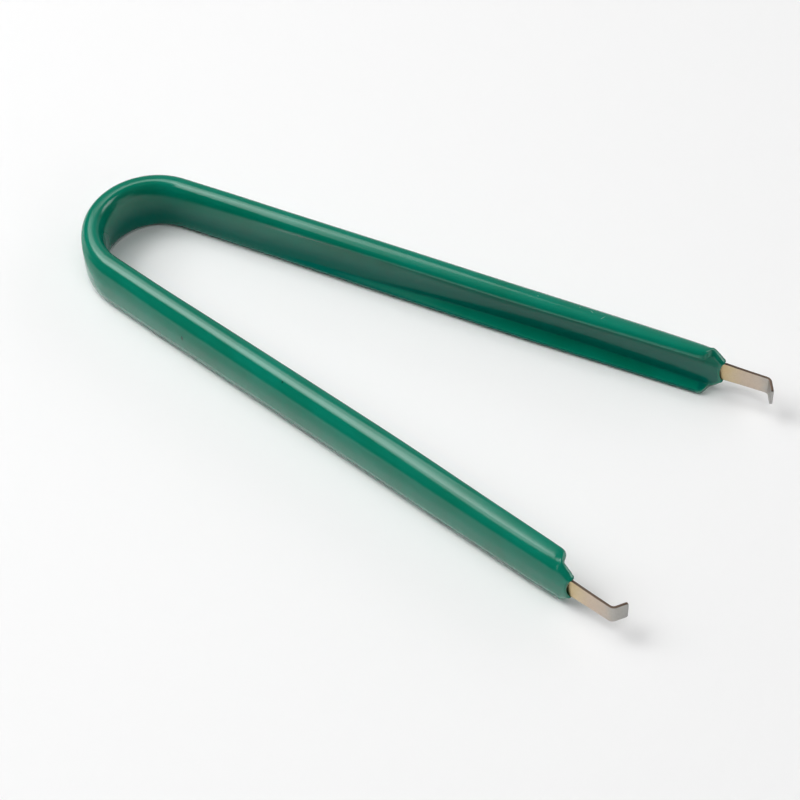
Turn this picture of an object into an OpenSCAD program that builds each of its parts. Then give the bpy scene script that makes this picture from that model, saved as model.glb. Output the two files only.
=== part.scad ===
// Keyboard switch puller: a U-shaped spring of thin steel strip in a thick dipped coating,
// lying on its edge. Its two arms end in bare tabs with short hooks that face each other.
// +X runs from the bend to the tips, Y across the arms, Z up. The origin is the middle of the
// footprint, on the surface that the puller rests on.

/* [Plan] */
// Radius of the bend, measured on the outside of the coating
bend_r = 13.1; // [10:0.1:20]
// How far each arm leans away from the centre line, in degrees
splay = 7.9; // [3:0.1:12]
// Length of each arm, from the end of the bend to the start of its shoulder
arm_l = 100.6; // [80:0.1:140]

/* [Steel strip] */
// Thickness of the steel
steel_t = 0.45; // [0.4:0.05:0.7]
// Height of the strip, edge to edge
strip_h = 9.9; // [8:0.1:14]
// Outside radius of the folds along the flanges
fold_r = 1; // [0.8:0.1:1.4]

/* [Flanges] */
// Depth of the flanges, outside, over most of the arm
flange_d = 2.9; // [2.4:0.1:4]
// Depth of the flanges at their ends
flange_tip_d = 2.2; // [1.8:0.1:2.4]
// Distance along the arm at which the flanges begin
flange_start = 6; // [2:1:10]
// Length over which the flanges rise to their depth
flange_rise = 16; // [8:1:30]
// Length over which the flanges grow shallower towards the tip
flange_fall = 34; // [20:1:40]
// How far each flange's free edge stops short of its fold
flange_setback = 0.1; // [0.1:0.1:2]
// Corner radius at the end of each flange
flange_end_r = 0.8; // [0.4:0.1:1.2]

/* [Tabs and hooks] */
// Length of the shoulder's slope, from full height down to the tab
shoulder_l = 2.4; // [2:0.1:5]
// Corner radius where the shoulder starts
shoulder_r = 1.3; // [0.5:0.1:2]
// Height of the tab at its root
tab_root_h = 4.2; // [3:0.1:6]
// Height of the tab where it bends into the hook
tab_end_h = 3.8; // [2.5:0.1:6]
// Length of the tab, from the shoulder to the hook's bend
tab_l = 8.1; // [5:0.1:14]
// Inside radius of the hook's bend
hook_bend_r = 0.5; // [0.3:0.1:1]
// Angle that the hook turns through, in degrees
hook_turn = 62; // [40:1:90]
// Straight length of the hook beyond its bend
hook_l = 2.3; // [1.5:0.1:4]
// Radius of the corners at the hook's tip
hook_corner_r = 0.4; // [0.2:0.1:1]
// How much the steel draws in on each side where the hook is bent
hook_thinning = 0.01; // [0.01:0.01:0.03]

/* [Coating] */
// Thickness of the coating over the steel
skin_t = 0.65; // [0.5:0.05:1]
// Radius of the coating's four long outer edges
edge_r = 1.5; // [0.8:0.1:1.8]
// Distance along the arm at which the trough between the flanges begins
trough_start = 22; // [12:1:40]
// Length over which the trough sinks to its full depth
trough_sink = 50; // [20:1:56]
// Length of tab that the coating covers past the shoulder
collar_l = 0.2; // [0.1:0.1:2]
// Depth of the hollow curve in which the coating ends on the tab
collar_dip = 0.6; // [0.2:0.1:0.7]

/* [Hidden] */
$fn = 64;
coat_green = "#0B6B55";
steel_grey = "#B4A898";
// Spare length by which a cutting shape runs past what it cuts
past = 1;
// How far each half of the bend runs on past the middle, in degrees
bend_lap = 10;
// How far the hook's bend runs on inside the tab and inside the hook, in degrees
hook_lap = 2;

// Section sizes: d is measured inwards from the coating's outer face, z up from the floor
coat_h = strip_h + 2 * skin_t;
coat_d = flange_d + 2 * skin_t;
coat_tip_d = flange_tip_d + 2 * skin_t;
wall_d = steel_t + 2 * skin_t;
mid_z = coat_h / 2;

// Distances along the arm. The shoulder's corner is where its slope would start unrounded.
shoulder_drop = (strip_h - tab_root_h) / 2;
shoulder_turn = atan2(shoulder_drop, shoulder_l);
half_turn_tan = tan(shoulder_turn / 2);
shoulder_corner = arm_l + shoulder_r * half_turn_tan;
shoulder_end = shoulder_corner + shoulder_l;
tab_end = shoulder_end + tab_l;

// The coating's end on the tab
collar_end = shoulder_end + skin_t * half_turn_tan + collar_l;
collar_half_h = tab_root_h / 2 + skin_t;
collar_r = (pow(collar_half_h, 2) + pow(collar_dip, 2)) / (2 * collar_dip);

// The hook, and how far the whole puller reaches
hook_outer_r = hook_bend_r + steel_t;
hook_c_d = skin_t + hook_outer_r;
function hook_point(out) =
    [tab_end + out * sin(hook_turn) + hook_l * cos(hook_turn),
     hook_c_d - out * cos(hook_turn) + hook_l * sin(hook_turn)];
function plan_x(p) =
    bend_r + p[0] * cos(splay) - (bend_r - p[1]) * sin(splay);
overall_l = max(plan_x(hook_point(hook_outer_r)), plan_x(hook_point(hook_bend_r)));

// Turns a section drawn in (d, z) about Z, anticlockwise from +Y. Its outer face has radius r.
module arc_sweep(r, turn) {
    rotate([0, 0, 90])
        rotate_extrude(angle = turn)
            translate([r, 0])
                mirror([1, 0])
                    children();
}

// Runs a section drawn in (d, z) along the arm between two distances
module arm_sweep(from, to) {
    translate([from, 0, 0])
        rotate([90, 0, 90])
            linear_extrude(height = to - from)
                mirror([1, 0])
                    children();
}

// Raises an outline drawn in (distance, d), so that it cuts the arm in plan
module in_plan(low, high) {
    translate([0, 0, low])
        mirror([0, 1, 0])
            linear_extrude(height = high - low)
                children();
}

// Pushes an outline drawn in (distance, z) through the arm from the outer face inwards
module in_side(low, high) {
    translate([0, -low, 0])
        rotate([90, 0, 0])
            linear_extrude(height = high - low)
                children();
}

// The bend's centre, turned so that the upper end of the bend lies on +Y
module at_bend_centre() {
    translate([bend_r, 0, 0])
        rotate([0, 0, splay])
            children();
}

// The arm's own frame: +X along its outer face from the end of the bend, -Y inwards
module in_arm() {
    translate([0, bend_r, 0])
        children();
}

// Half of the bend with one section all the way. It runs past the middle into the other half.
module half_bend() {
    arc_sweep(bend_r, 90 - splay + bend_lap)
        children();
}

// What is drawn for one side, on both sides
module both_sides() {
    at_bend_centre()
        children();
    mirror([0, 1, 0])
        at_bend_centre()
            children();
}

// A rectangle in (d, z) with all four corners rounded
module rounded_section(d, h, r) {
    translate([r, 0])
        square([d - 2 * r, h]);
    translate([0, r])
        square([d, h - 2 * r]);
    for (x = [r, d - r], z = [r, h - r])
        translate([x, z])
            circle(r);
}

// What is cut off a square corner of a section to round it. The corner lies on +X and +Y.
module corner_cut(r) {
    difference() {
        square(r + past);
        circle(r);
    }
}

// Side outline of the arm in (distance past the shoulder's start, z), grown by a skin or not:
// the upper half, with the shoulder's corner rounded
module end_half(skin, root_h, end_h, end) {
    r = shoulder_r + skin;
    top = strip_h / 2 + skin;
    difference() {
        polygon([
            [-arm_l - past, -past],
            [-arm_l - past, top],
            [r * half_turn_tan, top],
            [shoulder_end - arm_l + skin * half_turn_tan, root_h / 2 + skin],
            [end - arm_l, end_h / 2 + skin],
            [end - arm_l, -past]
        ]);
        translate([0, top - r])
            difference() {
                polygon([
                    [0, 0],
                    [0, r + past],
                    [r * half_turn_tan + past, r + past],
                    [r * sin(shoulder_turn), r * cos(shoulder_turn)]
                ]);
                circle(r);
            }
    }
}

module end_outline(skin, root_h, end_h, end) {
    translate([arm_l, mid_z]) {
        end_half(skin, root_h, end_h, end);
        mirror([0, 1])
            end_half(skin, root_h, end_h, end);
    }
}

// The folded channel's section in (d, z): web, two round folds and two flanges
module channel_section() {
    translate([skin_t, skin_t + fold_r])
        square([steel_t, strip_h - 2 * fold_r]);
    for (flip = [0, 1])
        translate([skin_t, mid_z])
            mirror([0, flip])
                translate([fold_r, -strip_h / 2]) {
                    square([flange_d - fold_r, steel_t]);
                    translate([0, fold_r])
                        intersection() {
                            translate([-fold_r, -fold_r])
                                square(fold_r);
                            difference() {
                                circle(fold_r);
                                circle(fold_r - steel_t);
                            }
                        }
                }
}

// Plan of the channel in (distance, d), which sets the flanges' depth along the arm
module flange_plan() {
    full = skin_t + flange_d;
    tip = skin_t + flange_tip_d;
    edge_end = arm_l - flange_setback;
    difference() {
        polygon([
            [flange_start, -past],
            [flange_start, skin_t + fold_r],
            [flange_start + flange_rise, full],
            [arm_l - flange_fall, full],
            [edge_end - flange_end_r, tip],
            [edge_end, tip],
            [arm_l + past, tip - past],
            [arm_l + past, -past]
        ]);
        // Rounds the free corner at the flange's end
        translate([edge_end - flange_end_r, tip - flange_end_r])
            corner_cut(flange_end_r);
    }
}

// The channel: the stretch of the arm that has flanges
module channel() {
    intersection() {
        arm_sweep(flange_start, arm_l)
            channel_section();
        in_plan(-past, coat_h + past)
            flange_plan();
    }
}

// The flat stretches of the arm: from the bend to the flanges, and the shoulder with its tab
module flat_ends() {
    translate([0, -skin_t - steel_t, skin_t])
        cube([flange_start, steel_t, strip_h]);
    intersection() {
        translate([arm_l, -skin_t - steel_t, skin_t])
            cube([tab_end - arm_l, steel_t, strip_h]);
        in_side(skin_t - past, wall_d + past)
            end_outline(0, tab_root_h, tab_end_h, tab_end);
    }
}

// The flat of the hook in its own plane, with the two corners at its tip rounded
module hook_outline() {
    square([hook_l - hook_corner_r, tab_end_h]);
    translate([0, hook_corner_r])
        square([hook_l, tab_end_h - 2 * hook_corner_r]);
    for (z = [hook_corner_r, tab_end_h - hook_corner_r])
        translate([hook_l - hook_corner_r, z])
            circle(hook_corner_r);
}

// The hook: a bend towards the other arm, a little drawn in, and a short flat beyond it
module hook() {
    translate([tab_end, -hook_c_d, mid_z - tab_end_h / 2]) {
        rotate([0, 0, -hook_turn - hook_lap])
            arc_sweep(hook_outer_r - hook_thinning, hook_turn + 2 * hook_lap)
                translate([0, hook_thinning])
                    square([steel_t - 2 * hook_thinning, tab_end_h - 2 * hook_thinning]);
        rotate([0, 0, -hook_turn])
            translate([0, hook_outer_r, 0])
                rotate([90, 0, 0])
                    linear_extrude(height = steel_t)
                        hook_outline();
    }
}

// The whole strip, with the outside of the coating's bend at x = 0
module strip_shape() {
    both_sides() {
        half_bend()
            translate([skin_t, skin_t])
                square([steel_t, strip_h]);
        in_arm() {
            flat_ends();
            channel();
            hook();
        }
    }
}

// Plan of the coated arm in (distance, d): its lips follow the flanges at skin thickness
module coat_plan() {
    edge_end = arm_l - flange_setback + skin_t;
    end_r = flange_end_r + skin_t;
    difference() {
        polygon([
            [-past, -past],
            [-past, coat_d + past],
            [arm_l - flange_fall, coat_d + past],
            [arm_l - flange_fall, coat_d],
            [edge_end - end_r, coat_tip_d],
            [edge_end, coat_tip_d],
            [arm_l + skin_t, wall_d],
            [collar_end + past, wall_d],
            [collar_end + past, -past]
        ]);
        translate([edge_end - end_r, coat_tip_d - end_r])
            corner_cut(end_r);
    }
}

// The trough between the lips, in plan, sinking from nothing to the wall's inner face
module trough_plan() {
    polygon([
        [trough_start, coat_d],
        [trough_start + trough_sink, wall_d],
        [collar_end + past, wall_d],
        [collar_end + past, coat_d + past],
        [trough_start, coat_d + past]
    ]);
}

module coat_arm() {
    difference() {
        intersection() {
            arm_sweep(0, collar_end)
                rounded_section(coat_d, coat_h, edge_r);
            in_side(-past, coat_d + past)
                end_outline(skin_t, tab_root_h, tab_root_h, collar_end + past);
            in_plan(-past, coat_h + past)
                coat_plan();
        }
        in_plan(wall_d, coat_h - wall_d)
            trough_plan();
        // The hollow curve in which the coating ends on the tab
        translate([collar_end - collar_dip + collar_r, past, mid_z])
            rotate([90, 0, 0])
                cylinder(h = coat_d + 2 * past, r = collar_r);
    }
}

module coat_shape() {
    difference() {
        both_sides() {
            half_bend()
                rounded_section(coat_d, coat_h, edge_r);
            in_arm()
                coat_arm();
        }
        strip_shape();
    }
}

module steel_strip() {
    color(steel_grey)
        translate([-overall_l / 2, 0, 0])
            strip_shape();
}

module vinyl_coating() {
    color(coat_green)
        translate([-overall_l / 2, 0, 0])
            coat_shape();
}

steel_strip();
vinyl_coating();
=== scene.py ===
# %% [markdown]
# # A keyboard switch puller
# The real tool is a U of thin spring steel, dipped in thick green vinyl up to two bare tabs. Each tab
# ends in a short hook that lifts a key switch from its plate. It lies on its edge on white paper.
# The CAD model fixes the tool's size and place, so the script starts by loading it as a frame. The
# dipped coating and the folded strip are then modelled in the same place, with softer surfaces.
# %% Load the fixed frame
import bpy
import bmesh
import math
from mathutils import Matrix, Vector


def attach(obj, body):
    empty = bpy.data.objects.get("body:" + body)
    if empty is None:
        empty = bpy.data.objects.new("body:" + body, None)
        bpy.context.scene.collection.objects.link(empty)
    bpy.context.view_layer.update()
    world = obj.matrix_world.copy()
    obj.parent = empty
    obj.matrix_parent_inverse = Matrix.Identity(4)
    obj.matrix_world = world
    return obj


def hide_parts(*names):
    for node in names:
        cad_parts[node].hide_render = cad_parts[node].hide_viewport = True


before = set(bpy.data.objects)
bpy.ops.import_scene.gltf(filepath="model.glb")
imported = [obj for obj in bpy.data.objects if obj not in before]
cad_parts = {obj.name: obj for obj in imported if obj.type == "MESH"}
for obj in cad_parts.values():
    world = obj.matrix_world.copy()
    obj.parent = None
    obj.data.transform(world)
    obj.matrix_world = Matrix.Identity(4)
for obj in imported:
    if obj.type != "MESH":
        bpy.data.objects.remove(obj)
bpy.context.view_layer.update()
MM = 0.001

# %% [markdown]
# The photograph was taken from above, from the right of the near arm. This camera was found by fitting
# the tool's outline to the picture, which also asks for a fairly long lens. The camera is made first,
# because every later choice of finish and light is judged through it.
# %% Camera
LOOK_TURN, LOOK_DOWN, LOOK_ROLL = -0.589, 0.895, -0.0369   # radians
LOOK_FAR, LOOK_AT = 445.215, (5.38, -4.02, 0)              # millimetres
FOCAL_PX, PHOTO_PX, SENSOR_MM = 2560.34, 800, 36

look = Vector((math.sin(LOOK_TURN) * math.cos(LOOK_DOWN),
               math.cos(LOOK_TURN) * math.cos(LOOK_DOWN), -math.sin(LOOK_DOWN)))
level_right = Vector((math.cos(LOOK_TURN), -math.sin(LOOK_TURN), 0))
level_up = level_right.cross(look)
right = level_right * math.cos(LOOK_ROLL) + level_up * math.sin(LOOK_ROLL)
up = level_up * math.cos(LOOK_ROLL) - level_right * math.sin(LOOK_ROLL)
stand = (Vector(LOOK_AT) - look * LOOK_FAR) * MM

bpy.ops.object.camera_add()
camera = bpy.context.object
camera.matrix_world = Matrix(((right.x, up.x, -look.x, stand.x), (right.y, up.y, -look.y, stand.y),
                              (right.z, up.z, -look.z, stand.z), (0, 0, 0, 1)))
camera.data.sensor_width = SENSOR_MM
camera.data.lens = FOCAL_PX / PHOTO_PX * SENSOR_MM
camera.data.clip_start = 0.01
bpy.context.scene.camera = camera
print("lens in mm:", round(camera.data.lens, 1), "distance in mm:", LOOK_FAR)

# %% [markdown]
# ## The dipped coating
# A dipped coating has no sharp edge anywhere: the wet vinyl draws itself round every corner. Its
# section changes all along the arm. By the bend it is a full rounded bar. Further on, a trough sinks
# between two lips, because the steel inside is folded into a channel, and at the end the lips stop,
# the arm narrows over a shoulder and the vinyl ends in a hollow curve on the tab.
# A single sweep can't do that, and cutting it from a block would leave hard edges. So one ring of
# points is drawn in the section, spun round the bend, and then extruded along the arm step by step,
# and each new ring is laid on the section that belongs to its place.
# %% Sizes of the coating, in millimetres
BEND_R, SPLAY = 13.1, math.radians(7.9)   # the outer face's radius in the bend, the arm's turn outwards
STEEL_T, STRIP_H, SKIN = 0.45, 9.9, 0.65
COAT_H, MID_Z = STRIP_H + 2 * SKIN, STRIP_H / 2 + SKIN
FULL_HALF = COAT_H / 2                    # half the coating's height, away from the shoulder
HALF_L = 62.14113                         # half the tool's length, hooks included
# Where the vinyl ends on the tab, half its height there, how hollow its end is, half the tab's height
COLLAR_END, COLLAR_HALF_H, COLLAR_DIP, TAB_HALF_H = 104.05, 2.5, 0.65, 2.1


def smooth(value, start, end):
    """0 before start, 1 after end, and an even curve between them."""
    t = min(max((value - start) / (end - start), 0), 1)
    return t * t * (3 - 2 * t)


def mix(a, b, t):
    """A value between a and b: a where t is 0, b where it is 1."""
    return a + (b - a) * t


def in_row(s, d, z):
    """A place on the far arm: s along it, d inwards from its outer face, z above the floor."""
    across = BEND_R - d
    return Vector((BEND_R + s * math.cos(SPLAY) - across * math.sin(SPLAY) - HALF_L,
                   s * math.sin(SPLAY) + across * math.cos(SPLAY), z)) * MM


print("height of the coating in mm:", round(COAT_H, 2))

# %% [markdown]
# A table gives each size at a few stations along the arm, and an even curve runs through them that
# never overshoots, so that no bump shows in the long reflections. Both faces of the section are arcs
# of a superellipse. Its exponents say how full they are: 2 is an ellipse, and more is flatter.
# %% Sizes that change along the arm
def along(s, table):
    """The value at s on an even curve through the table's (s, value) pairs, with no overshoot."""
    if s <= table[0][0]:
        return table[0][1]
    if s >= table[-1][0]:
        return table[-1][1]
    i = max(k for k in range(len(table) - 1) if table[k][0] <= s)
    rise = [(b[1] - a[1]) / (b[0] - a[0]) for a, b in zip(table, table[1:])]

    def lean(k):
        if k == 0 or k == len(table) - 1 or rise[k - 1] * rise[k] <= 0:
            return 0
        return 2 * rise[k - 1] * rise[k] / (rise[k - 1] + rise[k])

    (s0, v0), (s1, v1) = table[i], table[i + 1]
    w, t = s1 - s0, (s - s0) / (s1 - s0)
    return (v0 * (1 + 2 * t) * (1 - t) ** 2 + v1 * t * t * (3 - 2 * t)
            + w * lean(i) * t * (1 - t) ** 2 + w * lean(i + 1) * t * t * (t - 1))


# Half the section's height
HALF_HEIGHT = [(0, FULL_HALF), (100.0, FULL_HALF), (100.8, 5.52), (101.4, 5.28), (101.9, 4.92),
               (102.4, 4.45), (102.9, 3.9), (103.3, 3.4), (103.6, 3.0), (103.85, 2.7), (104.05, 2.52)]
# Depth from the outer face to the lips' inner side, and to the trough's floor between them
LIP_DEPTH = [(0, 4.3), (14, 4.42), (62, 4.42), (84, 4.05), (99.9, 3.6), (100.5, 3.52), (100.9, 3.36),
             (101.15, 3.08), (101.32, 2.66), (101.48, 2.2), (101.65, 1.9), (101.95, 1.75)]
WEB_DEPTH = [(15, 4.42), (22, 4.1), (40, 3.3), (56, 2.5), (68, 1.98), (78, 1.78), (84, 1.75)]
# How far the outer face stands out at mid-height, and the share of the depth that is outside the crest
OUT = [(0, -0.006), (14, 0.22), (84, 0.26), (100, 0.1), (102.5, 0.0)]
CREST = [(0, 0.5), (40, 0.5), (70, 0.6), (96, 0.72), (100.5, 0.72), (102.5, 0.55)]
# Exponents across the top, up the outer face and up the inner face
DOME = [(0, 2.9), (20, 2.6), (50, 2.6), (96, 2.0), (104.05, 2.2)]
OUTER_FULLNESS = [(0, 4.4), (18, 3.2), (50, 3.2), (96, 5.5), (104.05, 4.0)]
INNER_FULLNESS = [(0, 2.5), (12, 3.4), (24, 5.0), (55, 8.0), (100, 9.0), (102, 5.0)]
# How far below the top a lip begins to turn back, and the height in which it falls to the trough
NOSE = [(0, 1.75), (30, 1.6), (96, 1.25), (104, 1.25)]
STEP = [(0, 1.15), (30, 1.0), (96, 0.65), (104, 0.65)]
print("trough and lip depth at 60 mm:", round(along(60, WEB_DEPTH), 2), round(along(60, LIP_DEPTH), 2))

# %% [markdown]
# The section is worked out for its upper half and turned over for the lower one, because the puller is
# the same both ways up. Its points lie closer together where the curve turns.
# %% One section of the coating
OUTER_POINTS, LIP_POINTS, STEP_POINTS, WEB_POINTS = 20, 12, 10, 5
OUTER_FINE, LIP_FINE = 200, 120           # steps of the fine curves on which the points are placed


def spread(curve, count, corner=1.0):
    """count places along a finely drawn curve, closer together where it turns."""
    lean = [math.atan2(b[1] - a[1], b[0] - a[0]) for a, b in zip(curve, curve[1:])]
    steps = [math.dist(a, b) for a, b in zip(curve, curve[1:])]
    marks = [0.0]
    for k, step in enumerate(steps):
        marks.append(marks[-1] + step + corner * (abs(lean[k] - lean[k - 1]) if k else 0))
    places, k = [], 0
    for i in range(count):
        goal = marks[-1] * i / (count - 1)
        while k < len(steps) - 1 and marks[k + 1] < goal:
            k += 1
        t = (goal - marks[k]) / (marks[k + 1] - marks[k])
        places.append((mix(curve[k][0], curve[k + 1][0], t), mix(curve[k][1], curve[k + 1][1], t)))
    return places


def upper_half(s):
    """The section's upper half as (d, z from mid-height), from the outer face over the top to the inner."""
    h, depth = along(s, HALF_HEIGHT), along(s, LIP_DEPTH)
    web = min(along(s, WEB_DEPTH), depth)
    out, dome = along(s, OUT), along(s, DOME)
    outer_full, inner_full = along(s, OUTER_FULLNESS), along(s, INNER_FULLNESS)
    outwards = depth * along(s, CREST)
    inwards, crest = depth - outwards, outwards - out

    def outer(a):
        return -out + outwards * (1 - math.cos(a) ** (2 / dome)), h * math.sin(a) ** (2 / outer_full)

    def inner(z):
        return crest + inwards * max(1 - (z / h) ** inner_full, 0) ** (1 / dome)

    quarter = math.pi / 2
    points = spread([outer(quarter * (k / OUTER_FINE) ** 2) for k in range(OUTER_FINE + 1)], OUTER_POINTS)
    nose = h * (1 - along(s, NOSE) / FULL_HALF)
    foot = nose - along(s, STEP) * h / FULL_HALF
    turn = math.asin((nose / h) ** (inner_full / 2))
    lip = []
    for k in range(LIP_FINE + 1):
        z = h * math.sin(mix(quarter, turn, k / LIP_FINE)) ** (2 / inner_full)
        lip.append((inner(z), z))
    points += spread(lip, LIP_POINTS)[1:]
    for k in range(1, STEP_POINTS + 1):
        z = mix(nose, foot, k / STEP_POINTS)
        fall = (1 - math.cos(math.pi * k / STEP_POINTS)) / 2
        points.append((inner(z) - (depth - web) * fall, z))
    for k in range(1, WEB_POINTS + 1):
        z = foot * (1 - k / WEB_POINTS)
        points.append((inner(z) - (depth - web), z))
    return points


def whole_ring(s):
    """The closed section as (d, z from mid-height)."""
    half = upper_half(s)
    return half + [(d, -z) for d, z in half[-2:0:-1]]


print("points in a ring:", len(whole_ring(0)))

# %% [markdown]
# The first ring starts as Blender's circle, and its points are laid on the section at the middle of the
# bend. Each point remembers its number, so that a ring made by extruding can be laid on its own
# section. Spin carries the ring round the bend to the start of the arm. The steel strip is made in the
# same way further on, so each of these steps is a function.
# %% The bend, spun from one ring
START_R = 5                               # any radius does, because the circle is laid on the section
BEND_STEPS = 24


def lay_ring(piece, places):
    """Moves the selected ring's points to their places."""
    bm = bmesh.from_edit_mesh(piece.data)
    number = bm.verts.layers.int["number"]
    for v in bm.verts:
        if v.select:
            v.co = places[v[number]]
    bmesh.update_edit_mesh(piece.data)


def first_ring(name, section):
    """Starts a piece in edit mode: a numbered ring, laid on the section at the middle of the bend."""
    bpy.ops.object.select_all(action="DESELECT")
    bpy.ops.mesh.primitive_circle_add(vertices=len(section), radius=START_R * MM, fill_type="NOTHING")
    piece = bpy.context.object
    piece.name = piece.data.name = name
    bpy.ops.object.mode_set(mode="EDIT")
    bpy.ops.mesh.select_all(action="SELECT")
    bm = bmesh.from_edit_mesh(piece.data)
    number = bm.verts.layers.int.new("number")
    for k, v in enumerate(bm.verts):
        v[number] = k
    lay_ring(piece, [Vector((d - HALF_L, 0, z + MID_Z)) * MM for d, z in section])
    return piece


def spin_round_bend():
    """Carries the selected ring round the bend to the start of the far arm."""
    bpy.ops.mesh.spin(steps=BEND_STEPS, angle=math.radians(90) - SPLAY,
                      center=Vector((BEND_R - HALF_L, 0, 0)) * MM, axis=(0, 0, 1))


coating = first_ring("dipped_coating", whole_ring(0))
spin_round_bend()
print("points after the spin:", len(bmesh.from_edit_mesh(coating.data).verts))

# %% [markdown]
# The arm follows, one extrusion for each station. The stations lie close together only where the
# shape turns quickly: at the ends of the lips and over the shoulder. On the shoulder's last part each
# ring is bowed back at mid-height, towards the hollow curve in which the vinyl ends on the tab.
# %% The arm, extruded station by station
STATIONS = ([3 * k for k in range(1, 33)] + [97.6, 98.8, 99.5, 99.9, 100.2, 100.4]
            + [100.55 + 0.14 * k for k in range(15)] + [102.75, 103, 103.2, 103.4, 103.55])
BOW_START, BOW_WHOLE = 102, 103.6


def bowed(s, z):
    """How far the place at height z falls back behind s near the vinyl's end."""
    return COLLAR_DIP * (1 - min(abs(z) / COLLAR_HALF_H, 1) ** 2) * smooth(s, BOW_START, BOW_WHOLE)


def next_ring(piece, places):
    """Extrudes the selected ring and lays the new one on its places."""
    bpy.ops.mesh.extrude_region_move()
    lay_ring(piece, places)


for s in STATIONS:
    next_ring(coating, [in_row(s - bowed(s, z), d, z + MID_Z) for d, z in whole_ring(s)])
print("stations:", len(STATIONS))

# %% [markdown]
# At its end the vinyl thins out to nothing round the tab in a quarter circle. At the middle of each
# wide face it stands off the steel a little, and the photograph shows a short dark gap there. So the
# ring closes in round the steel, and turns back inside the gap before it is closed.
# %% The rounded end on the tab
LAST_STATION, END_ROUND, END_STEPS = 103.65, 0.4, 6
GAP_LEAST, GAP_MORE, GAP_BELOW, GAP_HALF = 0.03, 0.37, 0.6, 1.05
TURNED_BACK = ((0.25, 1), (0.8, 1), (1.3, 0.3))   # how far back inside the gap, share of the gap there


def round_steel(d, z, share, gap=0.0):
    """A ring point drawn in towards the steel: share 1 leaves it, 0 leaves only the gap between them."""
    near = Vector((min(max(d, SKIN), SKIN + STEEL_T), min(max(z, -TAB_HALF_H), TAB_HALF_H)))
    out = Vector((d, z)) - near
    return near + out * mix(gap / SKIN, 1, share)


def gap_at(z):
    """The gap between vinyl and steel, widest a little below mid-height."""
    return GAP_LEAST + GAP_MORE * math.exp(-((z + GAP_BELOW) / GAP_HALF) ** 4)


last = whole_ring(LAST_STATION)
for k in range(1, END_STEPS + 1):
    a = math.radians(90 * k / END_STEPS)
    places = []
    for d, z in last:
        p = round_steel(d, z, math.cos(a), gap_at(z))
        s = LAST_STATION - bowed(COLLAR_END, z) + END_ROUND * math.sin(a)
        places.append(in_row(s, p.x, p.y + MID_Z))
    next_ring(coating, places)
for back, gap_share in TURNED_BACK:
    places = []
    for d, z in last:
        p = round_steel(d, z, 0, gap_at(z) * gap_share)
        places.append(in_row(COLLAR_END - bowed(COLLAR_END, z) - back, p.x, p.y + MID_Z))
    next_ring(coating, places)
bpy.ops.mesh.extrude_region_move()
bpy.ops.mesh.merge(type="CENTER")
print("points of one half:", len(bmesh.from_edit_mesh(coating.data).verts))

# %% [markdown]
# Mirror makes the other half and joins it at the middle of the bend. One level of subdivision then
# evens out the facets, so that the reflections run along the arms without a break. A swept ring doesn't
# say which side of its faces is outside. So they are turned outwards, and again once the skin is closed.
# %% Mirror and subdivide
JOINED_WITHIN = 0.001                     # millimetres


def face_outwards():
    """Turns all faces of the piece in hand outwards and leaves edit mode."""
    bpy.ops.object.mode_set(mode="EDIT")
    bpy.ops.mesh.select_all(action="SELECT")
    bpy.ops.mesh.normals_make_consistent(inside=False)
    bpy.ops.object.mode_set(mode="OBJECT")


def add_mirror(piece):
    """Gives a piece its other half, across the plane between the arms."""
    mirror = piece.modifiers.new("other_half", "MIRROR")
    mirror.use_axis = (False, True, False)
    mirror.merge_threshold = JOINED_WITHIN * MM
    return mirror


def finish_modifiers(piece):
    """Applies all modifiers of a piece."""
    bpy.ops.object.select_all(action="DESELECT")
    bpy.context.view_layer.objects.active = piece
    piece.select_set(True)
    for modifier in list(piece.modifiers):
        bpy.ops.object.modifier_apply(modifier=modifier.name)


face_outwards()
add_mirror(coating).use_clip = True
even = coating.modifiers.new("even", "SUBSURF")
even.levels = even.render_levels = 1
finish_modifiers(coating)
face_outwards()
bpy.ops.object.shade_smooth()
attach(coating, "root")
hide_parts("vinyl_coating")
print("coating faces:", len(coating.data.polygons))

# %% [markdown]
# ## The spring steel strip
# One strip of thin spring steel runs through both arms. Under the vinyl its edges are folded inwards
# into a channel, which keeps the arms stiff, while the bend stays flat and springy. Past the shoulder it
# is a plain tab, and its last few millimetres are bent inwards as a hook. The vinyl hides the channel, so
# its form is worked out from the coating's outline.
# %% Sizes of the strip, in millimetres
WIDE_HALF, HOOK_HALF = STRIP_H / 2, 1.9   # half the strip's height in the arms and at the hook
# Half the strip's height, and the depth of its folded edge; a depth of STEEL_T is no fold at all
STRIP_HALF = [(0, WIDE_HALF), (99.2, WIDE_HALF), (100.2, 4.75), (101, 4.4), (101.6, 3.95), (102.2, 3.4),
              (102.8, 2.8), (103.3, 2.35), (103.7, 2.16), (104.1, 2.09), (111.5, HOOK_HALF)]
FLANGE = [(5, STEEL_T), (8, 0.8), (22, 2.9), (66, 2.9), (99, 2.2), (99.8, 2.0), (100.5, 1.2),
          (100.9, STEEL_T)]
FOLD_R, EDGE_R = 1.0, 0.07                # outer radius of the fold, rounding of the cut edges
TAB_END, HOOK_R, HOOK_TURN, HOOK_L, HOOK_CORNER = 111.5246, 0.8, math.radians(62), 2.115, 0.4
STRIP_STATIONS = [5, 5.6, 6.4, 7.2, 8, 10, 12, 14, 16, 18, 20, 22, 44, 66, 82, 99, 99.4, 99.8, 100.1,
                  100.4, 100.6, 100.75, 100.9, 101.2, 101.5, 101.8, 102.1, 102.4, 102.7, 103, 103.3,
                  103.5, 103.7, 104.1, 108, TAB_END]
print("height and thickness of the tab's end in mm:", 2 * HOOK_HALF, STEEL_T)

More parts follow.
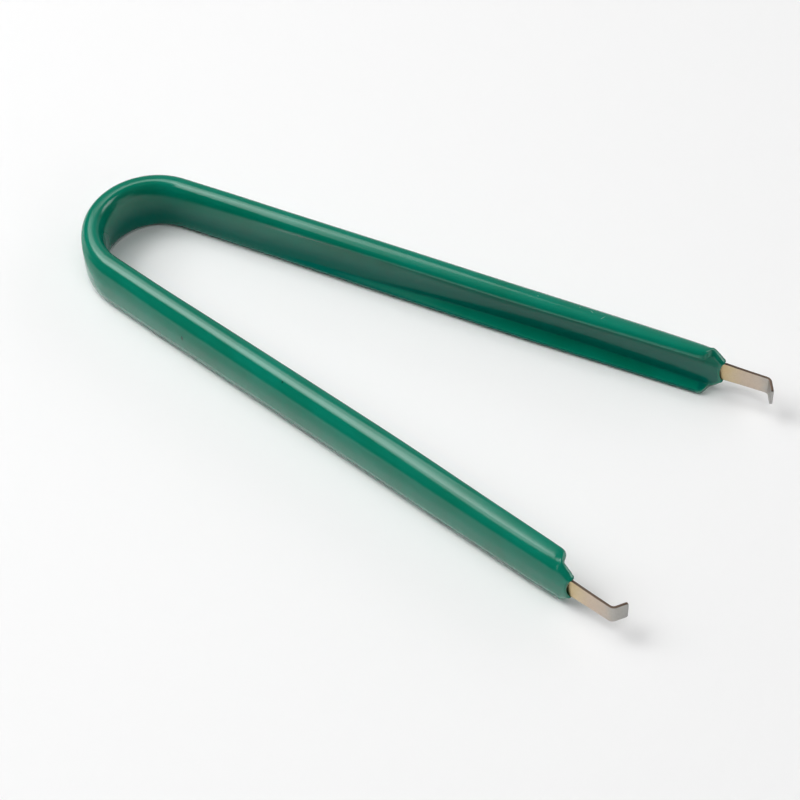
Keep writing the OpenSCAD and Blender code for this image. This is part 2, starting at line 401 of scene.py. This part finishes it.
# %% [markdown]
# The strip's section has the same number of points with a fold and without one, so that one ring can
# run from the flat bend through the channel to the tab. Its upper half is worked out and turned over.
# %% One section of the strip
FOLD_MARGIN = 0.01                        # a flange less deep than this past the steel is no fold
ENDS_AT = 0.5                             # share of the half height where its first and last point lie
FOLD_STEPS, EDGE_STEPS, INNER_STEPS = 6, 3, 4
ROW_START, ROW_STEP = 0.05, 0.06          # points in a row, which take the place of a fold


def strip_half(half, flange):
    """The strip's upper half as (d, z from mid-height): up the outer face, round the fold, back inside."""
    fold = min(FOLD_R, max(flange - STEEL_T, 0) + EDGE_R)
    inner_fold = max(fold - STEEL_T, EDGE_R)
    far_d, low_z = SKIN + flange, half - STEEL_T
    points = [(SKIN, half * ENDS_AT)]
    for k in range(FOLD_STEPS + 1):
        a = math.radians(90 * k / FOLD_STEPS)
        points.append((SKIN + fold * (1 - math.cos(a)), half - fold * (1 - math.sin(a))))
    for k in range(EDGE_STEPS + 1):
        a = math.radians(90 * k / EDGE_STEPS)
        points.append((far_d - EDGE_R * (1 - math.sin(a)), half - EDGE_R * (1 - math.cos(a))))
    if flange > STEEL_T + FOLD_MARGIN:
        points += [(far_d, low_z + EDGE_R), (far_d - EDGE_R, low_z)]
        corner = (SKIN + STEEL_T + inner_fold, low_z - inner_fold)
        for k in range(INNER_STEPS + 1):
            a = math.radians(90 * k / INNER_STEPS)
            d = min(corner[0] - inner_fold * math.sin(a), far_d - EDGE_R)
            points.append((d, corner[1] + inner_fold * math.cos(a)))
    else:
        # Without a fold, as many points lie in a row down the inner face
        points += [(far_d, low_z + ROW_START - ROW_STEP * k) for k in range(INNER_STEPS + 3)]
    return points + [(SKIN + STEEL_T, half * ENDS_AT)]


def strip_ring(half, flange=STEEL_T):
    """The strip's closed section as (d, z from mid-height)."""
    upper = strip_half(half, flange)
    return upper + [(d, -z) for d, z in upper[::-1]]


def in_hook(q, d, z):
    """A place on the hook, q along it past its bend."""
    depth = SKIN + STEEL_T + HOOK_R
    reach = depth - d
    return in_row(TAB_END + reach * math.sin(HOOK_TURN) + q * math.cos(HOOK_TURN),
                  depth - reach * math.cos(HOOK_TURN) + q * math.sin(HOOK_TURN), z)


print("points in the strip's ring:", len(strip_ring(WIDE_HALF)))

# %% [markdown]
# The strip is drawn as the coating was: one ring, spun round the bend and extruded along the arm. A
# second spin bends the hook, and the last rings round the corners of its end. The faces stay flat and
# the cut edges crisp, so it is shaded smooth only where faces meet at less than 40 degrees.
# %% The strip, from the bend to the hook's end
HOOK_STEPS, CORNER_STEPS = 12, 8
DOUBLES_WITHIN = 0.0005                   # millimetres
CRISP_FROM = math.radians(40)

strip = first_ring("bent_strip", strip_ring(WIDE_HALF))
spin_round_bend()
for s in STRIP_STATIONS:
    section = strip_ring(along(s, STRIP_HALF), along(s, FLANGE))
    next_ring(strip, [in_row(s, d, z + MID_Z) for d, z in section])
hook_centre = in_row(TAB_END, SKIN + STEEL_T + HOOK_R, 0)
bpy.ops.mesh.spin(steps=HOOK_STEPS, angle=HOOK_TURN, center=hook_centre, axis=(0, 0, 1))
for k in range(CORNER_STEPS + 1):
    a = math.radians(90 * k / CORNER_STEPS)
    q = HOOK_L - HOOK_CORNER * (1 - math.sin(a))
    half = HOOK_HALF - HOOK_CORNER * (1 - math.cos(a))
    next_ring(strip, [in_hook(q, d, z + MID_Z) for d, z in strip_ring(half)])
bpy.ops.mesh.edge_face_add()
bpy.ops.mesh.select_all(action="SELECT")
bpy.ops.mesh.remove_doubles(threshold=DOUBLES_WITHIN * MM)
face_outwards()
add_mirror(strip)
finish_modifiers(strip)
face_outwards()
bpy.ops.object.shade_smooth_by_angle(angle=CRISP_FROM)
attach(strip, "root")
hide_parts("steel_strip")
print("strip faces:", len(strip.data.polygons), "size in mm:", [round(v / MM, 2) for v in strip.dimensions])

# %% [markdown]
# ## Materials
# Colours are written as they are read from a screen, so one function turns them into the linear
# values that the shader works with. Another adds a node with its settings and links.
# %% Helpers for materials
def colour(code):
    """The linear colour, with alpha 1, of an sRGB hex value."""
    parts = [int(code[k:k + 2], 16) / 255 for k in (0, 2, 4)]
    return tuple(c / 12.92 if c <= 0.04045 else ((c + 0.055) / 1.055) ** 2.4 for c in parts) + (1,)


def add_node(tree, kind, links=None, settings=None, **values):
    """Adds a node, with values for its inputs, settings for the node, and links as input: output socket."""
    node = tree.nodes.new(kind)
    for name, value in (settings or {}).items():
        setattr(node, name, value)
    for name, value in values.items():
        node.inputs[name.replace("_", " ")].default_value = value
    for name, source in (links or {}).items():
        tree.links.new(source, node.inputs[name])
    return node


def new_material(name):
    """An empty node material with a Principled shader and its output."""
    material = bpy.data.materials.new(name)
    material.use_nodes = True
    tree = material.node_tree
    tree.nodes.clear()
    shader = tree.nodes.new("ShaderNodeBsdfPrincipled")
    out = tree.nodes.new("ShaderNodeOutputMaterial")
    tree.links.new(shader.outputs["BSDF"], out.inputs["Surface"])
    return material, tree, shader


VINYL_DEEP, VINYL_PALE = "00735a", "007d66"
for code in (VINYL_DEEP, VINYL_PALE):
    print("vinyl green in linear values:", [round(c, 3) for c in colour(code)[:3]])

# %% [markdown]
# The coating is plastisol, a liquid vinyl that cures in an oven to a thick glossy skin. It has no
# grain. What the eye sees is a strong blue-green, a clear reflection, and a faint unevenness where
# the wet vinyl has run. The unevenness is a few millimetres long, so its noise is scaled from that,
# and a wider noise lets the green drift a little.
# %% Dipped vinyl: colour and unevenness
RUN_MM, DRIFT_MM = 4, 9

vinyl, tree, shader = new_material("plastisol_dipped")
shader.inputs["Roughness"].default_value = 0.15
shader.inputs["IOR"].default_value = 1.47
where = add_node(tree, "ShaderNodeTexCoord")
run = add_node(tree, "ShaderNodeTexNoise", {"Vector": where.outputs["Object"]}, Scale=1 / (RUN_MM * MM),
               Detail=2.0)
cloud = add_node(tree, "ShaderNodeTexNoise", {"Vector": where.outputs["Object"]}, Scale=1 / (DRIFT_MM * MM),
                 Detail=3.0)
cured = add_node(tree, "ShaderNodeValToRGB", {"Fac": cloud.outputs["Fac"]})
for element, place, code in zip(cured.color_ramp.elements, (0.3, 0.7), (VINYL_DEEP, VINYL_PALE)):
    element.position, element.color = place, colour(code)
print("vinyl roughness:", round(shader.inputs["Roughness"].default_value, 2))

# %% [markdown]
# The shading differs between the outer and the inner side of the U: a tilted normal outside, painted
# shade inside. Three values tell them apart: the place along the tool, the height, and the side, which
# is how far a face looks away from the middle of the bend (more than 0 on the outer side, less on the
# inner). A table makes the rest, one node a line.
# %% Where on the puller a point lies
facing = add_node(tree, "ShaderNodeNewGeometry")
from_centre = add_node(tree, "ShaderNodeVectorMath", {"Vector": where.outputs["Object"]},
                       {"operation": "SUBTRACT"})
from_centre.inputs[1].default_value = ((BEND_R - HALF_L) * MM, 0, 0)
side = add_node(tree, "ShaderNodeVectorMath",
                {0: facing.outputs["Normal"], 1: from_centre.outputs["Vector"]}, {"operation": "DOT_PRODUCT"})
place_of = add_node(tree, "ShaderNodeSeparateXYZ", {"Vector": where.outputs["Object"]})
found = {"side": side.outputs["Value"], "length": place_of.outputs["X"], "height": place_of.outputs["Z"]}


def work_out(lines):
    """Adds a node for each line, either
    (name, what it follows, start and end in mm, value at the start, value at the end), or
    (name, operation, one value, another value)."""
    for name, rule, *numbers in lines:
        if rule in found:
            start, end, low, high = numbers
            node = add_node(tree, "ShaderNodeMapRange", {"Value": found[rule]}, From_Min=start * MM,
                            From_Max=end * MM, To_Min=low, To_Max=high)
        else:
            one, other = numbers
            node = add_node(tree, "ShaderNodeMath", {0: found[one], 1: found[other]}, {"operation": rule})
        found[name] = node.outputs[0]


print("values to work from:", list(found))

# %% [markdown]
# The photograph's shades on the near arm suggest outer faces that are a little rounder than this section.
# So the shading normal is tilted up above mid-height and down below it, on the outer side only and not
# on the crest. It is a stand-in for a rounder shape, and the outline stays as modelled.
# %% Rounder outer faces
work_out((
    ("lift_above", "height", 5.0, 9.6, 0, 0.54),
    ("lift_below", "height", 3.9, 0.3, 0, -0.25),
    ("lift_both", "ADD", "lift_above", "lift_below"),
    ("below_crest", "height", 10.7, 9.7, 0, 1),
    ("lift_faces", "MULTIPLY", "lift_both", "below_crest"),
    ("outer_side", "side", 4, 10, 0, 1),
    ("lift", "MULTIPLY", "lift_faces", "outer_side")))
lift = add_node(tree, "ShaderNodeCombineXYZ", {"Z": found["lift"]})
swollen = add_node(tree, "ShaderNodeVectorMath", {0: facing.outputs["Normal"], 1: lift.outputs["Vector"]})
swollen = add_node(tree, "ShaderNodeVectorMath", {0: swollen.outputs["Vector"]}, {"operation": "NORMALIZE"})
bump = add_node(tree, "ShaderNodeBump", {"Height": run.outputs["Fac"], "Normal": swollen.outputs["Vector"]},
                Strength=0.25, Distance=0.02 * MM)
tree.links.new(bump.outputs["Normal"], shader.inputs["Normal"])
print("vinyl nodes so far:", len(tree.nodes))

# %% [markdown]
# Low on the inner side the arms shade each other, and the photograph shows it darker and duller there
# than these lamps make it. So that shade is painted in: the sheen is lowered towards the floor and by
# the bend, and along a painted shade line at the trough's upper edge, under the lip. The green is also
# painted a little darker in the hollow, as painted shade.
# %% Painted shade on the inner faces
SHEEN, SHEEN_IN_SHADE, VINYL_SHADED = 0.5, 0.06, "006356"

work_out((
    ("inside", "side", -1, -6, 0, 1),
    ("low", "height", 8.4, 3.8, 0, 1),
    ("hollow", "MULTIPLY", "low", "inside"),
    ("by_floor", "height", 4.4, 1.6, 0, 1),
    ("by_bend", "length", 60, -25, 0, 1),
    ("floor_or_bend", "MAXIMUM", "by_floor", "by_bend"),
    ("shaded", "MULTIPLY", "hollow", "floor_or_bend"),
    ("edge_by_bend", "length", -19, 10, 8.8 * MM, 6.25 * MM),
    ("edge_by_tips", "length", 10, 46, 0, 0.7 * MM),
    ("edge", "ADD", "edge_by_bend", "edge_by_tips"),
    ("above_edge", "SUBTRACT", "height", "edge"),
    ("under_lip", "above_edge", -0.4, 0.1, 0, 1),
    ("below_lip", "height", 9.85, 9.65, 0, 1),
    ("crease", "MULTIPLY", "under_lip", "below_lip"),
    ("crease_inside", "MULTIPLY", "crease", "inside"),
    ("past_bend", "length", -30, -5, 0, 0.85),
    ("crease_shade", "MULTIPLY", "crease_inside", "past_bend"),
    ("half_low", "height", 8.6, 7.6, 0, 0.3),
    ("half_low_inside", "MULTIPLY", "inside", "half_low"),
    ("shade_low", "MAXIMUM", "shaded", "half_low_inside"),
    ("shade", "MAXIMUM", "shade_low", "crease_shade")))
# Painted shade on the reflection: the sheen is lowered where the shade mask is high
sheen = add_node(tree, "ShaderNodeMapRange", {"Value": found["shade"]}, To_Min=SHEEN, To_Max=SHEEN_IN_SHADE)
tree.links.new(sheen.outputs["Result"], shader.inputs["Specular IOR Level"])
# Painted shade: the green is mixed towards a darker green low in the hollow on the inner side
painted_shade_fac = add_node(tree, "ShaderNodeMapRange", {"Value": found["hollow"]}, From_Max=0.7, To_Max=0.9)
skin = add_node(tree, "ShaderNodeMixRGB", {"Fac": painted_shade_fac.outputs["Result"], "Color1": cured.outputs["Color"]},
                Color2=colour(VINYL_SHADED))
print("vinyl nodes so far:", len(tree.nodes))

# %% [markdown]
# The photograph shows a few small flaws in the skin: three dark pinholes and, on the far arm, two pale
# scratches and two specks. Each is a soft spot in the colour, stretched and turned at its own place.
# %% Pinholes and scratches
PINHOLE, SCUFF = "00382b", "74ad9b"
SPOT_FADES = (1.3, 0.6)                   # from nothing to full colour, in half sizes from its middle
# Place and half sizes in mm, turn in radians, colour
FLAWS = (((-9.07, -18.18, 11.0), (0.2, 0.2, 0.6), 0, PINHOLE),
         ((-32.08, -15.78, 5.8), (0.2, 0.2, 0.6), 0, PINHOLE),
         ((-1.22, -19.66, 10.6), (0.14, 0.14, 0.6), 0, PINHOLE),
         ((30.69, 21.97, 11.1), (0.5, 0.05, 0.5), 1.2, SCUFF),
         ((28.4, 22.18, 11.1), (0.35, 0.05, 0.5), -0.4, SCUFF),
         ((18.59, 20.52, 11.15), (0.1, 0.08, 0.5), 0, SCUFF),
         ((26.08, 22.07, 11.15), (0.1, 0.07, 0.5), 0, SCUFF))

for place, half_sizes, turn, code in FLAWS:
    mapped = add_node(tree, "ShaderNodeMapping", {"Vector": where.outputs["Object"]},
                      {"vector_type": "TEXTURE"}, Location=[v * MM for v in place],
                      Rotation=(0, 0, turn), Scale=[v * MM for v in half_sizes])
    away = add_node(tree, "ShaderNodeVectorMath", {"Vector": mapped.outputs["Vector"]},
                    {"operation": "LENGTH"})
    spot = add_node(tree, "ShaderNodeMapRange", {"Value": away.outputs["Value"]},
                    From_Min=SPOT_FADES[0], From_Max=SPOT_FADES[1])
    skin = add_node(tree, "ShaderNodeMixRGB",
                    {"Fac": spot.outputs["Result"], "Color1": skin.outputs["Color"]}, Color2=colour(code))
tree.links.new(skin.outputs["Color"], shader.inputs["Base Color"])
coating.data.materials.clear()
coating.data.materials.append(vinyl)
print("vinyl nodes:", len(tree.nodes), "flaws:", len(FLAWS))

# %% [markdown]
# The strip is cold-rolled spring steel. Curing the vinyl in an oven leaves a straw tint on the bare tabs
# next to the coating, which passes through a pinkish grey to plain grey at the hooks. The cut edges are
# darker and browner than the rolled faces, so they are picked out by the way they face.
# %% Spring steel: colour
TINT_START, TINT_END, TINT_DRIFT, PATCH_MM = 53.2, 63.2, 2.4, 1.6
STRAW, PLAIN_GREY, CUT_EDGE = "d0b88e", "aaa9a6", "78665a"

steel, tree, shader = new_material("spring_steel_rolled")
shader.inputs["Metallic"].default_value = 1.0
where = add_node(tree, "ShaderNodeTexCoord")
axes = add_node(tree, "ShaderNodeSeparateXYZ", {"Vector": where.outputs["Object"]})
patch = add_node(tree, "ShaderNodeTexNoise", {"Vector": where.outputs["Object"]}, Scale=1 / (PATCH_MM * MM),
                 Detail=3.0)
drift = add_node(tree, "ShaderNodeMath", {0: patch.outputs["Fac"], 2: axes.outputs["X"]},
                 {"operation": "MULTIPLY_ADD"})
drift.inputs[1].default_value = TINT_DRIFT * MM
along_tab = add_node(tree, "ShaderNodeMapRange", {"Value": drift.outputs[0]}, From_Min=TINT_START * MM,
                     From_Max=TINT_END * MM)
tint = add_node(tree, "ShaderNodeValToRGB", {"Fac": along_tab.outputs["Result"]})
tint.color_ramp.elements[0].color = colour(STRAW)
tint.color_ramp.elements[1].color = colour(PLAIN_GREY)
for place, code in ((0.16, "d2bf9c"), (0.38, "cdbba8"), (0.66, "c6b8aa"), (0.84, "b4b0aa")):
    tint.color_ramp.elements.new(place).color = colour(code)
facing = add_node(tree, "ShaderNodeNewGeometry")
parts = add_node(tree, "ShaderNodeSeparateXYZ", {"Vector": facing.outputs["Normal"]})
upright = add_node(tree, "ShaderNodeMath", {0: parts.outputs["Z"]}, {"operation": "ABSOLUTE"})
cut = add_node(tree, "ShaderNodeMapRange", {"Value": upright.outputs[0]}, From_Min=0.25, From_Max=0.75)
face = add_node(tree, "ShaderNodeMixRGB", {"Fac": cut.outputs["Result"], "Color1": tint.outputs["Color"]},
                Color2=colour(CUT_EDGE))
tree.links.new(face.outputs["Color"], shader.inputs["Base Color"])
print("heat tint over", round(TINT_END - TINT_START, 1), "mm of tab")

# %% [markdown]
# Rolling leaves a fine grain, which breaks up the steel's reflection. Real grain is too fine to show
# here, so it is drawn at about a third of a millimetre.
# %% Spring steel: grain
GRAIN_MM, GRAIN_DEEP = 0.35, 0.03

grain = add_node(tree, "ShaderNodeTexNoise", {"Vector": where.outputs["Object"]}, Scale=1 / (GRAIN_MM * MM),
                 Detail=3.0)
rough = add_node(tree, "ShaderNodeMapRange", {"Value": grain.outputs["Fac"]}, From_Min=0.3, From_Max=0.7,
                 To_Min=0.3, To_Max=0.55)
tree.links.new(rough.outputs["Result"], shader.inputs["Roughness"])
dents = add_node(tree, "ShaderNodeBump", {"Height": grain.outputs["Fac"]}, Strength=0.5,
                 Distance=GRAIN_DEEP * MM)
tree.links.new(dents.outputs["Normal"], shader.inputs["Normal"])
strip.data.materials.clear()
strip.data.materials.append(steel)
print("steel nodes:", len(tree.nodes))

# %% [markdown]
# ## Paper, light and background
# The tool lies on white paper in soft studio light. The paper is a large plane that fills the
# photograph's view.
# %% Floor
FLOOR_WIDE = 4                            # metres
PAPER_WHITE, PAPER_ROUGH = "f8f8f8", 0.9

bpy.ops.object.select_all(action="DESELECT")
bpy.ops.mesh.primitive_plane_add(size=FLOOR_WIDE)
floor = bpy.context.object
floor.name = "floor"
paper, tree, shader = new_material("white_paper")
shader.inputs["Base Color"].default_value = colour(PAPER_WHITE)
shader.inputs["Roughness"].default_value = PAPER_ROUGH
floor.data.materials.append(paper)
print("paper in m:", [round(v, 2) for v in floor.dimensions[:2]])

# %% [markdown]
# The long highlights on the arms were traced back to where their light comes from. There is one
# large soft box high on the left, brighter in its middle, and a second one behind on the right, which
# lights the rim inside the bend. They are only seen in reflections and light nothing else: the lamps
# that light the paper come next. A soft box's brightness is what its reflection shows, so the power of
# each lamp is worked out from that.
# %% Soft boxes
def soft_box(name, place, aim, wide, deep, brightness):
    """An area lamp at a place, turned to face another place, with a brightness where white paper is 1."""
    bpy.ops.object.light_add(type="AREA", location=place)
    light = bpy.context.object
    light.name = name
    light.data.shape = "RECTANGLE"
    light.data.size, light.data.size_y = wide, deep
    light.data.energy = brightness * math.pi * wide * deep
    light.rotation_euler = (Vector(aim) - Vector(place)).to_track_quat("-Z", "Y").to_euler()
    return light


# Name, place and aim in metres, width and depth, brightness
SEEN_BOXES = (("left_box", (-0.70, -0.26, 1.0), (-0.70, -0.26, 0), (0.72, 1.86), 3.2),
              ("left_box_middle", (-0.69, -0.16, 0.99), (-0.69, -0.16, 0), (0.62, 0.9), 3.0),
              ("back_right_box", (0.64, 0.57, 0.62), (0, 0, 0), (0.5, 0.6), 4.0))
for name, place, aim, size, brightness in SEEN_BOXES:
    soft_box(name, place, aim, *size, brightness).visible_diffuse = False
print("boxes seen in the vinyl:", len(SEEN_BOXES))

# %% [markdown]
# What those boxes and the pale room throw on the paper is set apart from what they show in the vinyl.
# These lamps aren't seen in reflections. Each stands 1.1 m away at an angle round the tool and a height
# angle. Most light falls from the left, some from the front right and a little from all round, so
# the shadows stay short and soft. Their brightness was fitted to the shades on the paper.
# %% Lamps for the shadows
LAMP_FAR = 1.1                            # metres
# Angle round the tool and height angle in degrees, width in metres, brightness
SHADOW_LAMPS = ((18, 28, 0.55, 0.5), (54, 28, 0.55, 1.42), (90, 28, 0.55, 0.65), (198, 28, 0.55, 1.1),
                (342, 28, 0.55, 1.35), (157.5, 48, 0.5, 0.43), (202.5, 48, 0.7, 4.15), (108, 68, 0.45, 0.31),
                (180, 68, 0.6, 3.42), (324, 68, 0.45, 3.4))
for turn, rise, size, brightness in SHADOW_LAMPS:
    a, b = math.radians(turn), math.radians(rise)
    place = Vector((math.cos(a) * math.cos(b), math.sin(a) * math.cos(b), math.sin(b))) * LAMP_FAR
    soft_box("shadow_lamp", place, (0, 0, 0), size, size, brightness).visible_glossy = False
print("lamps for the shadows:", len(SHADOW_LAMPS))

# %% [markdown]
# The rest of the room is dim, except for the white wall behind. The world stands for both: its
# strength rises towards the back, so that the arms' outer rims catch a soft reflection. Like the soft
# boxes it is seen in reflections but doesn't light the paper.
# %% World
ROOM_DIM, WALL_PALE = 0.06, 0.42

world = bpy.context.scene.world or bpy.data.worlds.new("studio")
bpy.context.scene.world = world
world.use_nodes = True
world.cycles_visibility.diffuse = False
tree = world.node_tree
towards = add_node(tree, "ShaderNodeTexCoord")
parts = add_node(tree, "ShaderNodeSeparateXYZ", {"Vector": towards.outputs["Generated"]})
back = add_node(tree, "ShaderNodeMapRange", {"Value": parts.outputs["Y"]},
                {"interpolation_type": "SMOOTHSTEP"}, From_Min=0.3, From_Max=1.0, To_Min=ROOM_DIM,
                To_Max=WALL_PALE)
tree.nodes["Background"].inputs["Color"].default_value = (1, 1, 1, 1)
tree.links.new(back.outputs["Result"], tree.nodes["Background"].inputs["Strength"])
print("world strength from", ROOM_DIM, "to", WALL_PALE)

# %% [markdown]
# Last, colours are shown as they are written. The finished model has to stay inside the CAD model's
# box.
# %% Finish
bpy.context.scene.view_settings.view_transform = "Standard"
